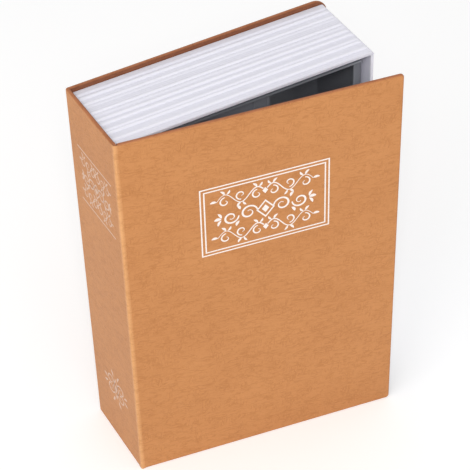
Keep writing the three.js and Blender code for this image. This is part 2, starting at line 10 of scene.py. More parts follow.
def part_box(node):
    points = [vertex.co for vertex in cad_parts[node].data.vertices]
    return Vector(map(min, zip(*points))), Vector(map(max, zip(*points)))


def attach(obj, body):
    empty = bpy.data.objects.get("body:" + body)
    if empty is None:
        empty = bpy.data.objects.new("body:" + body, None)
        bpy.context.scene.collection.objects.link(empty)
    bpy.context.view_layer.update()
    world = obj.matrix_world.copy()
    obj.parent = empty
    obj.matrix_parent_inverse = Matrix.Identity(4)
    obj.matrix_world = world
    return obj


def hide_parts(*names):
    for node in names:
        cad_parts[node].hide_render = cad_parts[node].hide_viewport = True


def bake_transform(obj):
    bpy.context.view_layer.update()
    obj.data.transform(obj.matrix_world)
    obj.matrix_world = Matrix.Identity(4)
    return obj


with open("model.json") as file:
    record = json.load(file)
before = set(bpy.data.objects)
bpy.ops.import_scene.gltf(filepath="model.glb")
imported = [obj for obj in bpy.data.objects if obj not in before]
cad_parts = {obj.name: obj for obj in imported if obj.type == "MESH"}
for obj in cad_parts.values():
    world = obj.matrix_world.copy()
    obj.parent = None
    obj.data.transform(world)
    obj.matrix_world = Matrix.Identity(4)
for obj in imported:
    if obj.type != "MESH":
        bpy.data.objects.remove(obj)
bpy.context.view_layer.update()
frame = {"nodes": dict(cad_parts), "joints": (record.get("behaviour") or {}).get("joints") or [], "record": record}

MM = 0.001
NODES = frame["nodes"]
JOINTS = {joint["name"]: joint for joint in frame["joints"]}


def box_mm(node):
    """Lowest and highest corner of a CAD node, in millimetres."""
    return tuple([c / MM for c in corner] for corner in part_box(node))


# Places and sizes from the frame, in millimetres
SPINE_LOW, SPINE_HIGH = box_mm("spine_paper")
BACK_HIGH = box_mm("back_cover_paper")[1]
HEIGHT = BACK_HIGH[2]
SPINE_X = SPINE_LOW[0]
SPINE_START = SPINE_LOW[1]
BACK_Y = BACK_HIGH[1]
FORE_X = BACK_HIGH[0]
COVER = SPINE_HIGH[0] - SPINE_LOW[0]
HALF = COVER / 2
AXIS_X, AXIS_Y = (c / MM for c in JOINTS["cover_hinge"]["pos_m"][:2])
AJAR = math.radians(-JOINTS["cover_hinge"]["range_deg"][0])
ALONG = (math.cos(AJAR), -math.sin(AJAR))
INWARD = (math.sin(AJAR), math.cos(AJAR))
FRONT_LENGTH = (box_mm("front_cover_paper")[1][0] - AXIS_X - HALF * INWARD[0]) / ALONG[0]

# Covering paper. FRONT_START is the way from the fold axis to the front cover's paper, and STATIONS_END
# the way from a cover's free edge back to the last of its stations.
PAPER = 0.4
FOIL = 0.05
TURN_IN = 14
EDGE_RADIUS = 0.85
EDGE_STEPS = 5
CASE_CORNER = 9
FRONT_CORNER = 2
LEAST_CORNER = 0.05
CORNER_STEPS = 10
SPINE_CORNER = 1.4
SPINE_CORNER_INNER = 0.3
SPINE_CORNER_STEPS = 6
FRONT_START = 1.3
STATIONS_END = TURN_IN + 2
MID_STATION = 60
SMOOTH_DEG = 35
MERGE_M = 1e-7

# Shade is a number at each point of a mesh that says how much painted shade or painted highlight the
# material lays there. Round a cover's edge it goes from 0 on the outer face to 1, painted shade where
# the edge curves away, and to 2 in the crease of the inner edge, a painted contact shadow. The
# turned-in paper behind that has 1, painted shade.
SHADE = "shade"
EDGE_SHADE = [0, 0.3, 0.6, 0.9, 1, 1, 1, 1.2, 1.5, 1.8, 2, 2]
TURNED_SHADE = 1


# Meshes

def piece(name, verts, faces, body, slot, material, replaces=(), smooth_deg=SMOOTH_DEG, shade=()):
    """A mesh object from points in millimetres, riding on a body of the frame.

    shade holds a number for each point, from 0 to 2, that the material reads.
    """
    mesh = bpy.data.meshes.new(name)
    bm = bmesh.new()
    layer = bm.verts.layers.float.new(SHADE)
    made = [bm.verts.new(Vector(v) * MM) for v in verts]
    for vert, value in zip(made, shade):
        vert[layer] = value
    for face in faces:
        ring = [made[i] for n, i in enumerate(face) if i != face[n - 1]]
        if len(set(ring)) > 2:
            bm.faces.new(ring)
    bmesh.ops.remove_doubles(bm, verts=bm.verts, dist=MERGE_M)
    bmesh.ops.recalc_face_normals(bm, faces=bm.faces)
    bm.to_mesh(mesh)
    bm.free()
    mesh.polygons.foreach_set("use_smooth", [True] * len(mesh.polygons))
    mesh.set_sharp_from_angle(angle=math.radians(smooth_deg))
    obj = bpy.data.objects.new(name, mesh)
    bpy.context.scene.collection.objects.link(obj)
    obj.data.materials.append(material)
    weighted = obj.modifiers.new("weighted_normals", "WEIGHTED_NORMAL")
    weighted.keep_sharp = True
    if body:
        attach(obj, body)
    if replaces:
        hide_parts(*replaces)
    return obj


def arc(steps, start, end):
    """Angles in radians from start to end, in degrees."""
    return [math.radians(start + (end - start) * i / steps) for i in range(steps + 1)]


def on_front(l, t, z):
    """A point at l from the fold axis, t towards the pages from the front cover's middle."""
    return (AXIS_X + l * ALONG[0] + t * INWARD[0], AXIS_Y + l * ALONG[1] + t * INWARD[1], z)


def skin_profile():
    """(inset from the board's edge, depth from its outer face) round an edge of covered board."""
    r = EDGE_RADIUS
    outer = [(r - r * math.sin(a), FOIL + r - r * math.cos(a)) for a in arc(EDGE_STEPS, 0, 90)]
    inner = [(r - r * math.cos(a), COVER - r + r * math.sin(a)) for a in arc(EDGE_STEPS, 0, 90)]
    turned = [(TURN_IN, COVER), (TURN_IN, COVER - PAPER), (PAPER, COVER - PAPER), (PAPER, PAPER)]
    return outer + inner + turned


def skin(name, body, replaces, length, corner, stations, place, material):
    """Covering paper round a board, with rounded edges and turn-ins, and square at the fold end.

    It has cross-sections at the stations, which are distances from the fold end along the board.
    """
    verts, faces, shade = [], [], []
    profile = skin_profile()
    rounds = EDGE_SHADE + [TURNED_SHADE] * (len(profile) - len(EDGE_SHADE))
    for (inset, depth), value in zip(profile, rounds):
        radius = max(corner - inset, LEAST_CORNER)
        s = length - inset - radius
        z = inset + radius
        outline = [(station, inset) for station in stations]
        outline += [(s + radius * math.sin(a), z - radius * math.cos(a)) for a in arc(CORNER_STEPS, 0, 90)]
        outline += [(p[0], HEIGHT - p[1]) for p in reversed(outline)]
        verts += [(*place(p[0], depth), p[1]) for p in outline]
        shade += [value] * len(outline)
    count = len(verts) // len(profile)
    for k in range(len(profile) - 1):
        for i in range(count - 1):
            a = k * count + i
            faces.append((a, a + 1, a + count + 1, a + count))
    for base in (0, (len(profile) - 1) * count):
        for i in range(len(stations) - 1):
            faces.append((base + i, base + i + 1, base + count - 2 - i, base + count - 1 - i))
        last = len(stations) - 1
        faces.append(tuple(base + i for i in range(last, count - last)))
    tail_end = [k * count for k in range(len(profile))]
    head_end = [k * count + count - 1 for k in reversed(range(len(profile)))]
    faces.append(tuple(tail_end + head_end))
    return piece(name, verts, faces, body, "cover_paper", material, replaces, shade=shade)


# Materials

class Graph:
    """Short calls for building one material's nodes."""

    def __init__(self, name, color, roughness, **inputs):
        self.material = bpy.data.materials.new(name)
        self.material.use_nodes = True
        self.tree = self.material.node_tree
        self.shader = self.tree.nodes["Principled BSDF"]
        self.shader.inputs["Base Color"].default_value = (*color, 1)
        self.shader.inputs["Roughness"].default_value = roughness
        for key, value in inputs.items():
            self.shader.inputs[key.replace("_", " ")].default_value = value
        self.material.diffuse_color = (*color, 1)
        self.color = (*color, 1)
        coordinates = self.node("ShaderNodeTexCoord").outputs["Object"]
        self.mm = self.vector("SCALE", coordinates, scale=1 / MM)

    def node(self, kind, **settings):
        """A new node with the given settings."""
        node = self.tree.nodes.new(kind)
        for key, value in settings.items():
            setattr(node, key, value)
        return node

    def put(self, socket, value):
        """Link a socket to another one, or set its value."""
        if isinstance(value, bpy.types.NodeSocket):
            self.tree.links.new(value, socket)
        else:
            socket.default_value = value

    def math(self, operation, a, b=0.0):
        """The result of an operation on one or two numbers."""
        node = self.node("ShaderNodeMath", operation=operation)
        self.put(node.inputs[0], a)
        self.put(node.inputs[1], b)
        return node.outputs[0]

    def vector(self, operation, a, b=(0, 0, 0), scale=1.0):
        """The result of an operation on two vectors, or of scaling one."""
        node = self.node("ShaderNodeVectorMath", operation=operation)
        self.put(node.inputs[0], a)
        if operation == "SCALE":
            node.inputs[3].default_value = scale
        else:
            self.put(node.inputs[1], b)
        return node.outputs[0]

    def noise(self, stretch, detail=2.0, place=None):
        """Noise whose features are stretch millimetres long along x, y and z."""
        node = self.node("ShaderNodeTexNoise")
        self.put(node.inputs["Vector"], self.vector("DIVIDE", place or self.mm, stretch))
        node.inputs["Scale"].default_value = 1
        node.inputs["Detail"].default_value = detail
        return node

    def ramp(self, value, low, high, to_low=0.0, to_high=1.0):
        """A value between low and high, carried over to another range and held inside it."""
        node = self.node("ShaderNodeMapRange", clamp=True)
        self.put(node.inputs["Value"], value)
        for key, number in (("From Min", low), ("From Max", high), ("To Min", to_low), ("To Max", to_high)):
            node.inputs[key].default_value = number
        return node.outputs[0]

    def contours(self, stretch, shift):
        """Thin lines at evenly spaced levels of a noise, 1 on the line and 0 off it."""
        place = self.vector("ADD", self.mm, shift)
        level = self.math("MULTIPLY", self.noise(stretch, 1, place).outputs["Fac"], LINE_LEVELS)
        return self.ramp(self.math("ABSOLUTE", self.math("SINE", level)), 0, LINE_WIDTH, 1, 0)

    def patchy(self, value, stretch, least):
        """A value that is weaker, down to a least share of itself, in patches of a given size."""
        place = self.vector("ADD", self.mm, stretch)
        share = self.ramp(self.noise(stretch, 2, place).outputs["Fac"], *PATCH_RANGE, least, 1)
        return self.math("MULTIPLY", value, share)

    def shade(self):
        """The number that the piece gives each of its points, 0 where it gives none."""
        return self.node("ShaderNodeAttribute", attribute_name=SHADE).outputs["Fac"]

    def tint(self, factor, color, base=None):
        """The base colour, going over to another colour by a factor from 0 to 1."""
        node = self.node("ShaderNodeMix", data_type="RGBA")
        self.put(node.inputs["Factor"], factor)
        self.put(node.inputs[6], base or self.color)
        self.put(node.inputs[7], (*color, 1))
        return node.outputs[2]

    def blended(self, base, factors, share):
        """A colour multiplied by factors for red, green and blue, as far as a share from 0 to 1."""
        node = self.node("ShaderNodeMix", data_type="RGBA", blend_type="MULTIPLY")
        self.put(node.inputs["Factor"], share)
        self.put(node.inputs[6], base)
        self.put(node.inputs[7], (*factors, 1))
        return node.outputs[2]

    def paint(self, color):
        """Give the shader its base colour."""
        self.put(self.shader.inputs["Base Color"], color)

    def bump(self, height, depth_mm, strength):
        """Relief on the surface, from a height of 0 to 1."""
        node = self.node("ShaderNodeBump")
        node.inputs["Strength"].default_value = strength
        node.inputs["Distance"].default_value = depth_mm * MM
        self.put(node.inputs["Height"], height)
        self.put(self.shader.inputs["Normal"], node.outputs[0])


def scaled(color, by):
    """A colour times one factor, or times a factor for each of red, green and blue."""
    factors = by if isinstance(by, tuple) else (by, by, by)
    return tuple(c * f for c, f in zip(color, factors))


# Embossed lines of the covering paper, in layers.
# Each layer is (size of its features, shift of its noise, size of its patches, least share in a patch).
LINE_LAYERS = [
    ((9, 9, 2.4), (0, 0, 0), (9, 9, 4), 0.3),
    ((6, 6, 1.6), (31, 47, 13), (7, 7, 5), 0.2),
    ((1.5, 1.5, 5), (3, 19, 41), (8, 8, 7), 0.0),
]
PATCH_RANGE = (0.42, 0.6)
LINE_LEVELS = 7
LINE_WIDTH = 0.45
LINE_SLANT_DEG = -6
LINE_SHARE = 0.8
LINE_TINT = (0.8, 0.73, 0.6)
# Painted contact shadow that darkens the crease of a cover's inner edge
CREASE_SHADE_TINT = (0.55, 0.5, 0.5)
FIBRE_SIZE = (0.6, 0.6, 0.4)
FIBRE_TINT = (0.88, 0.86, 0.82)
CLOUD_SIZE = (45, 45, 30)
CLOUD_TINT = (0.95, 0.93, 0.9)
EMBOSS_DEPTH = 0.1


def covering_paper(name, color, painted_light_color):
    """Satin covering paper, embossed with fine sinuous lines that run mostly along the book's width.

    Where a piece's shade is 1, it has the second colour: painted shade on a cover, a painted highlight
    on the fold. From there to 2 it darkens with a painted contact shadow.
    """
    g = Graph(name, color, 0.5, Specular_IOR_Level=0.35)
    turned = g.node("ShaderNodeMapping")
    g.put(turned.inputs["Vector"], g.mm)
    turned.inputs["Rotation"].default_value = (0, math.radians(LINE_SLANT_DEG), 0)
    g.mm = turned.outputs[0]
    lines = 0.0
    for stretch, shift, patches, least in LINE_LAYERS:
        layer = g.patchy(g.contours(stretch, shift), patches, least)
        lines = g.math("MAXIMUM", lines, layer)
    fibres = g.noise(FIBRE_SIZE, 2).outputs["Fac"]
    clouds = g.noise(CLOUD_SIZE, 2).outputs["Fac"]
    shade = g.shade()
    # The second colour is painted shade on a cover and a painted highlight on the fold; shade from 1 to 2 adds a
    # painted contact shadow
    tinted = g.tint(g.ramp(shade, 0, 1), painted_light_color)
    tinted = g.blended(tinted, CREASE_SHADE_TINT, g.ramp(shade, 1, 2))
    tinted = g.blended(tinted, LINE_TINT, g.math("MULTIPLY", lines, LINE_SHARE))
    tinted = g.blended(tinted, FIBRE_TINT, g.ramp(fibres, 0.35, 0.75, 0, 0.6))
    tinted = g.blended(tinted, CLOUD_TINT, g.ramp(clouds, 0.35, 0.65))
    g.paint(tinted)
    g.put(g.shader.inputs["Roughness"], g.ramp(fibres, 0.3, 0.7, 0.44, 0.58))
    relief = g.math("SUBTRACT", g.math("MULTIPLY", fibres, 0.25), lines)
    g.bump(relief, EMBOSS_DEPTH, 0.5)
    return g.material


def plain_paper(name, color):
    """Matt endpaper with short fibres."""
    g = Graph(name, color, 0.75, Specular_IOR_Level=0.2)
    fibres = g.noise((2.5, 2.5, 0.5), 3).outputs["Fac"]
    clouds = g.noise((30, 30, 30), 2).outputs["Fac"]
    shade = g.tint(g.ramp(fibres, 0.4, 0.7, 0, 0.35), scaled(color, 0.82))
    g.paint(g.tint(g.ramp(clouds, 0.35, 0.65, 0, 0.3), scaled(color, 0.88), shade))
    g.bump(fibres, 0.03, 0.4)
    return g.material


def board(name, color):
    """Raw grey board: layered, speckled fibre."""
    g = Graph(name, color, 0.9, Specular_IOR_Level=0.1)
    specks = g.noise((0.6, 0.6, 0.6), 4).outputs["Fac"]
    g.paint(g.tint(g.ramp(specks, 0.4, 0.7), scaled(color, 0.6)))
    g.bump(specks, 0.08, 0.6)
    return g.material


# Page plastic: the painted shade between the ribs, the flow lines, and the scattering of light in it
VALLEY_SHADE_TINT = (0.92, 0.92, 0.93)
FLOW_LENGTH = 60
FLOW_WIDTH = 0.8
SCATTER_WEIGHT = 0.5
SCATTER_M = 0.003


def page_plastic(name, color, grain):
    """Satin moulded plastic with faint flow lines along its ribs, and painted shade between them."""
    g = Graph(
        name, color, 0.42, Specular_IOR_Level=0.4,
        Subsurface_Weight=SCATTER_WEIGHT, Subsurface_Scale=SCATTER_M,
    )
    g.shader.inputs["Subsurface Radius"].default_value = (1, 1, 1)
    flow = g.noise(grain, 3).outputs["Fac"]
    clouds = g.noise((18, 18, 18), 2).outputs["Fac"]
    shade = g.tint(g.ramp(flow, 0.35, 0.7, 0, 0.5), scaled(color, 0.94))
    shade = g.tint(g.ramp(clouds, 0.4, 0.7, 0, 0.4), scaled(color, 0.97), shade)
    # Painted shade between the ribs, by the strip's shade
    g.paint(g.blended(shade, VALLEY_SHADE_TINT, g.shade()))
    g.put(g.shader.inputs["Roughness"], g.ramp(flow, 0.3, 0.7, 0.36, 0.5))
    g.bump(flow, 0.05, 0.5)
    return g.material


def powder_coat(name, color):
    """Dark satin powder coat with the fine orange peel of sprayed sheet steel."""
    g = Graph(name, color, 0.42, Specular_IOR_Level=0.5)
    peel = g.noise((0.9, 0.9, 0.9), 2).outputs["Fac"]
    clouds = g.noise((25, 25, 40), 2).outputs["Fac"]
    g.paint(g.tint(g.ramp(clouds, 0.35, 0.65, 0, 0.35), scaled(color, 0.8)))
    g.put(g.shader.inputs["Roughness"], g.ramp(clouds, 0.3, 0.7, 0.38, 0.5))
    g.bump(peel, 0.05, 0.35)
    return g.material


def metal(name, color, roughness, spangle):
    """Plated steel: brushed or spangled, with slight variation in gloss."""
    g = Graph(name, color, roughness, Metallic=1.0)
    streaks = g.noise((spangle, spangle, spangle * 0.25), 3).outputs["Fac"]
    g.paint(g.tint(g.ramp(streaks, 0.35, 0.7, 0, 0.6), scaled(color, 0.75)))
    g.put(g.shader.inputs["Roughness"], g.ramp(streaks, 0.3, 0.7, roughness * 0.8, roughness * 1.3))
    g.bump(streaks, 0.02, 0.4)
    return g.material


def stamped_foil(name, color, ground, worn):
    """White foil pressed into the paper, with the paper's grain breaking through a share of it."""
    g = Graph(name, color, 0.4, Specular_IOR_Level=0.5)
    grain = g.noise((0.35, 0.35, 0.35), 3).outputs["Fac"]
    g.paint(g.tint(g.ramp(grain, 0.52, 0.72, 0, worn), ground))
    g.bump(grain, 0.02, 0.4)
    return g.material


# Colours from the record, with factors that fit them to this scene's lights
COLORS = {m["slot"]: tuple(m["base_color"]) for m in frame["record"]["materials"]}
COVER_COLOR = scaled(COLORS["cover_paper"], (0.845, 0.815, 0.75))
# The cover paper painted darker for its turn-ins, its edges and the fold's core: painted shade
SHADE_PAINTED_COVER_COLOR = scaled(COVER_COLOR, (0.8, 0.7, 0.95))
# The cover paper painted lighter along the fold's rounded edge: a painted highlight
FOLD_HIGHLIGHT_COLOR = scaled(COVER_COLOR, (1.28, 1.5, 1.9))
PAGE_COLOR = scaled(COLORS["page_plastic"], (1.09, 1.09, 1.11))
STEEL_COLOR = scaled(COLORS["dark_steel"], 1.5)
SPINE_FOIL_COLOR = (0.62, 0.42, 0.31)
mat_cover = covering_paper("cover_paper", COVER_COLOR, SHADE_PAINTED_COVER_COLOR)
mat_fold_highlight = covering_paper("fold_paper_highlight", COVER_COLOR, FOLD_HIGHLIGHT_COLOR)
mat_shade_painted_cover = covering_paper("shade_painted_cover_paper", SHADE_PAINTED_COVER_COLOR, SHADE_PAINTED_COVER_COLOR)
mat_end = plain_paper("endpaper", COLORS["endpaper"])
mat_board = board("grey_board", COLORS["grey_board"])
mat_page_x = page_plastic("page_plastic", PAGE_COLOR, (FLOW_LENGTH, FLOW_WIDTH, FLOW_WIDTH))
mat_page_z = page_plastic("page_plastic_fore", PAGE_COLOR, (FLOW_WIDTH, FLOW_WIDTH, FLOW_LENGTH))
mat_steel = powder_coat("dark_steel", STEEL_COLOR)
mat_zinc = metal("zinc_steel", COLORS["zinc_steel"], 0.34, 1.2)
mat_nickel = metal("nickel", COLORS["nickel"], 0.2, 0.6)
mat_foil = stamped_foil("white_foil", COLORS["white_foil"], COVER_COLOR, 0.5)
mat_spine_foil = stamped_foil("spine_foil", SPINE_FOIL_COLOR, COVER_COLOR, 0.7)
SLOT_MATERIALS = {
    "cover_paper": mat_cover,
    "endpaper": mat_end,
    "grey_board": mat_board,
    "page_plastic": mat_page_x,
    "dark_steel": mat_steel,
    "zinc_steel": mat_zinc,
    "nickel": mat_nickel,
}

# CAD nodes get their material, and the metal ones a fine edge radius
BEVELS = {"dark_steel": 0.25, "zinc_steel": 0.15, "nickel": 0.15}
BEVEL_FROM_DEG = 40
WELD_M = 1e-6
for part in frame["record"]["subparts"]:
    node = NODES[part["node"]]
    slot_name = part["material_slot"]
    if not node.material_slots:
        node.data.materials.append(SLOT_MATERIALS[slot_name])
    for material_slot in node.material_slots:
        material_slot.material = SLOT_MATERIALS[slot_name]
    if slot_name in BEVELS:
        weld = node.modifiers.new("weld", "WELD")
        weld.merge_threshold = WELD_M
        bevel = node.modifiers.new("bevel", "BEVEL")
        bevel.width = BEVELS[slot_name] * MM
        bevel.segments = 2
        bevel.limit_method = "ANGLE"
        bevel.angle_limit = math.radians(BEVEL_FROM_DEG)
        bevel.harden_normals = False
        bevel.miter_outer = "MITER_ARC"

# Covering paper of spine and back cover, in one piece round the back corner
SPINE_RUN = BACK_Y - SPINE_START - SPINE_CORNER
ARC_RUN = SPINE_CORNER * math.pi / 2
CASE_LENGTH = SPINE_RUN + ARC_RUN + FORE_X - SPINE_X - SPINE_CORNER


def on_case(s, depth):
    """The case's covering at s along its outer face and a depth under it."""
    inner_corner = COVER + SPINE_CORNER_INNER
    if s <= SPINE_RUN:
        outer = (SPINE_X, SPINE_START + s)
        share = s / SPINE_RUN
        inner = (SPINE_X + COVER, SPINE_START + share * (BACK_Y - inner_corner - SPINE_START))
    elif s <= SPINE_RUN + ARC_RUN:
        a = (s - SPINE_RUN) / SPINE_CORNER
        centre = (SPINE_X + SPINE_CORNER, BACK_Y - SPINE_CORNER)
        outer = (centre[0] - SPINE_CORNER * math.cos(a), centre[1] + SPINE_CORNER * math.sin(a))
        centre = (SPINE_X + inner_corner, BACK_Y - inner_corner)
        inner = (
            centre[0] - SPINE_CORNER_INNER * math.cos(a),
            centre[1] + SPINE_CORNER_INNER * math.sin(a),
        )
    else:
        share = (s - SPINE_RUN - ARC_RUN) / (CASE_LENGTH - SPINE_RUN - ARC_RUN)
        outer = (SPINE_X + SPINE_CORNER + share * (FORE_X - SPINE_X - SPINE_CORNER), BACK_Y)
        inner = (SPINE_X + inner_corner + share * (FORE_X - SPINE_X - inner_corner), BACK_Y - COVER)
    part = depth / COVER
    return tuple(o + (i - o) * part for o, i in zip(outer, inner))


case_stations = [0, SPINE_RUN * 0.5]
case_stations += [
    SPINE_RUN + ARC_RUN * i / SPINE_CORNER_STEPS for i in range(SPINE_CORNER_STEPS + 1)
]
case_stations += [SPINE_RUN + ARC_RUN + MID_STATION, CASE_LENGTH - STATIONS_END]
skin(
    "case_paper", "case", ["spine_paper", "back_cover_paper"],
    CASE_LENGTH, CASE_CORNER, case_stations, on_case, mat_cover,
)

# Covering paper of the front cover
skin(
    "front_paper", "front_cover", ["front_cover_paper"],
    FRONT_LENGTH, FRONT_CORNER, [FRONT_START, MID_STATION, 110, FRONT_LENGTH - STATIONS_END],
    lambda s, depth: on_front(s, depth - HALF, 0)[:2], mat_cover,
)

# The fold between spine and front cover: its paper runs from the spine round onto the front cover
# and rides on no body, and its core stays on the spine
FOLD_OUTER = HALF - FOIL
FOLD_INNER = 0.85
FOLD_END = 0.12
FOLD_STRAIGHT_STEPS = 4
FOLD_ARC_STEPS = 10
# Painted highlight along the fold's arc, fading out onto the spine and the front cover
FOLD_HIGHLIGHT = [0, 0.1, 0.3, 0.6, 0.9] + [1] * 9 + [0.9, 0.6, 0.2]
FOLD_TURN_DEG = 270 - math.degrees(AJAR)
CORE_OUTER = 0.8
CORE_INNER = HALF
CORE_ARC_STEPS = 8
CORE_END = 0.1
CORE_ROUND = 0.3
CORE_END_SIZE = 0.75
CORE_GAP = 0.05


def fold_path(radius):
    """Down the spine, round the fold axis and onto the front cover, at a distance from their middles."""
    run = (AXIS_Y - SPINE_START) / FOLD_STRAIGHT_STEPS
    path = [(AXIS_X - radius, SPINE_START + run * i) for i in range(FOLD_STRAIGHT_STEPS)]
    path += [
        (AXIS_X + radius * math.cos(a), AXIS_Y + radius * math.sin(a))
        for a in arc(FOLD_ARC_STEPS, 180, FOLD_TURN_DEG)
    ]
    return path + [on_front(l, -radius, 0)[:2] for l in (FRONT_START / 2, FRONT_START)]


def fold_mesh():
    """Points, faces and painted highlight of the fold's paper, between its outer and its inner path."""
    outer, inner = fold_path(FOLD_OUTER), fold_path(FOLD_INNER)
    ring = outer + list(reversed(inner))
    verts = [(x, y, z) for z in (FOLD_END, HEIGHT - FOLD_END) for x, y in ring]
    n = len(ring)
    faces = [(i, (i + 1) % n, n + (i + 1) % n, n + i) for i in range(n)]
    for base in (0, n):
        faces += [
            (base + i, base + i + 1, base + n - 2 - i, base + n - 1 - i)
            for i in range(len(outer) - 1)
        ]
    return verts, faces, (FOLD_HIGHLIGHT + list(reversed(FOLD_HIGHLIGHT))) * 2


def core_mesh():
    """Points and faces of a tongue from the fold line to the spine, flush with the spine's inner face."""
    outline = [
        (CORE_OUTER * math.cos(a), CORE_OUTER * math.sin(a)) for a in arc(CORE_ARC_STEPS, 180, 270)
    ]
    outline += [
        (CORE_INNER * math.cos(a), CORE_OUTER * math.sin(a)) for a in arc(CORE_ARC_STEPS, 270, 360)[1:]
    ]
    spine_reach = SPINE_START - CORE_GAP - AXIS_Y
    outline += [(CORE_INNER, spine_reach), (-CORE_OUTER, spine_reach)]
    rings = [(CORE_END_SIZE, CORE_END), (1, CORE_END + CORE_ROUND)]
    rings += [(size, HEIGHT - z) for size, z in reversed(rings)]
    verts = [(AXIS_X + x * size, AXIS_Y + y, z) for size, z in rings for x, y in outline]
    n = len(outline)
    faces = [
        (k * n + i, k * n + (i + 1) % n, (k + 1) * n + (i + 1) % n, (k + 1) * n + i)
        for k in range(len(rings) - 1) for i in range(n)
    ]
    faces += [tuple(base + i for i in range(n)) for base in (0, (len(rings) - 1) * n)]
    return verts, faces


fold_verts, fold_faces, fold_highlight = fold_mesh()
fold = piece("fold_outer", fold_verts, fold_faces, None, "cover_paper", mat_fold_highlight, shade=fold_highlight)
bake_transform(fold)
# The core wears the darker copy of the cover paper, painted shade
piece("fold_core", *core_mesh(), "case", "cover_paper", mat_shade_painted_cover, ["cover_fold"])

# Ribbed page strips. Each rib is (step from the one before it, height as a share).
RIBS = [
    (5.3, 1), (5.9, 1), (2.5, 0.95), (5.2, 1), (4, 1), (3.8, 0.55), (2.6, 1), (5.9, 0.5), (2.2, 1),
    (5.1, 1), (3.7, 0.55),
]
RIB_WIDTH = 2.6
RIB_HEIGHT = 0.8
RIPPLE = 0.14
RIPPLE_WAVES = 4
RIPPLE_PITCH = (1.1, 2.6)
RIPPLE_SIZE = (0.4, 1.0)
RIPPLE_SPREAD = 2.8
PAGE_STEP = 0.2
PAGE_CORNER = 3.6
STRIP_REST = 0.05
STRIP_SMOOTH_DEG = 50
STRIP_ROUND_STEPS = 7
STRIP_ROUND_FROM_DEG = 10
FORE_END_STEPS = (0, 0.3, 0.6, 0.9)
EDGE_SEED = 3
TAIL_SEED = 5
HEAD_LOW, HEAD_HIGH = box_mm("pages_head")
TAIL_LOW, TAIL_HIGH = box_mm("pages_tail")
FORE_LOW, FORE_HIGH = box_mm("pages_fore_edge")


def rib_profile(seed):
    """(y, height below the ribs' crests) across a strip, with fine ripples between the ribs."""
    draw = random.Random(seed)
    y0, y1 = HEAD_LOW[1], HEAD_HIGH[1]
    crests, y = [], y0
    for step, share in RIBS:
        y += step
        crests.append((y, share))
    waves = [
        (draw.uniform(*RIPPLE_PITCH), draw.uniform(0, math.tau), draw.uniform(*RIPPLE_SIZE))
        for _ in range(RIPPLE_WAVES)
    ]
    count = round((y1 - y0) / PAGE_STEP)
    out = []
    for i in range(count + 1):
        y = y0 + (y1 - y0) * i / count
        rise = 0.0
        for crest, share in crests:
            off = abs(y - crest) / (RIB_WIDTH / 2)
            if off < 1:
                rise = max(rise, share * RIB_HEIGHT * math.sqrt(1 - off * off))
        ripple = sum(size * math.sin(math.tau * y / pitch + phase) for pitch, phase, size in waves)
        rise = max(rise, RIPPLE * (1 + ripple / RIPPLE_SPREAD))
        out.append((y, min(rise, RIB_HEIGHT) - RIB_HEIGHT))
    return out


def strip(name, node, body, profile, stations, material):
    """A ribbed strip through cross-sections, its painted shade 0 on the crests and 1 between the ribs."""
    verts, faces = [], []
    count = len(profile) + 2
    for section in stations:
        verts += section
    for k in range(len(stations) - 1):
        for i in range(count):
            a = k * count + i
            b = k * count + (i + 1) % count
            faces.append((a, b, b + count, a + count))
    for base in (0, (len(stations) - 1) * count):
        faces.append(tuple(base + i for i in range(count)))
    shade = [-h / RIB_HEIGHT for _, h in profile] + [1, 1]
    return piece(
        name, verts, faces, body, "page_plastic", material, [node], smooth_deg=STRIP_SMOOTH_DEG,
        shade=shade * len(stations),
    )


def corner_cap(over):
    """How far the block's rounded corner lies under its edge line, at a distance past its start."""
    return PAGE_CORNER - math.sqrt(max(0.0, PAGE_CORNER ** 2 - max(0.0, over) ** 2))


def head_section(x, profile, low, high, flip):
    """One section of the head or tail strip, rounded down towards the fore-edge."""
    cap = corner_cap(x - (FORE_HIGH[0] - PAGE_CORNER))
    top = [(x, y, high - max(-h, cap)) for y, h in profile]
    section = top + [(x, profile[-1][0], low), (x, profile[0][0], low)]
    return [(px, py, low + high - pz) for px, py, pz in section] if flip else section


def fore_section(z, profile):
    """One section of the fore-edge strip, rounded in towards head and tail."""
    cap = corner_cap(abs(z - HEIGHT / 2) - (HEAD_HIGH[2] - HEIGHT / 2 - PAGE_CORNER))
    outer = [(FORE_HIGH[0] - max(-h, cap), y, z) for y, h in profile]
    return outer + [(FORE_LOW[0], profile[-1][0], z), (FORE_LOW[0], profile[0][0], z)]


# Head and tail strips end where the rounding has taken all but STRIP_REST of their thickness
strip_thickness = HEAD_HIGH[2] - HEAD_LOW[2]
corner_reach = math.degrees(math.acos(1 - (strip_thickness - STRIP_REST) / PAGE_CORNER))
corner_start = FORE_HIGH[0] - PAGE_CORNER
along = [HEAD_LOW[0], 0, corner_start]
along += [
    corner_start + PAGE_CORNER * math.sin(a)
    for a in arc(STRIP_ROUND_STEPS, STRIP_ROUND_FROM_DEG, corner_reach)
]
edge_profile = rib_profile(EDGE_SEED)
strip(
    "page_ribs_head", "pages_head", "case", edge_profile,
    [head_section(x, edge_profile, HEAD_LOW[2], HEAD_HIGH[2], False) for x in along], mat_page_x,
)
tail_profile = rib_profile(TAIL_SEED)
strip(
    "page_ribs_tail", "pages_tail", "case", tail_profile,
    [head_section(x, tail_profile, TAIL_LOW[2], TAIL_HIGH[2], True) for x in along], mat_page_x,
)
fore_heights = [FORE_LOW[2] + step for step in FORE_END_STEPS]
fore_heights += [HEIGHT / 2] + [HEIGHT - z for z in reversed(fore_heights)]
strip(
    "page_ribs_fore", "pages_fore_edge", "case", edge_profile,
    [fore_section(z, edge_profile) for z in fore_heights], mat_page_z,
)

# Stamped foil. Ornaments are strips in millimetres, u across the face and v up it.
FOIL_SINK = 0.02
LOZENGE_EYE = 0.04
SCROLL_EYE = 0.22
SCROLL_STEPS = 26
LEAF_STEPS = 8
LEAF_TIP = 0.06
VINE_STEPS = 60


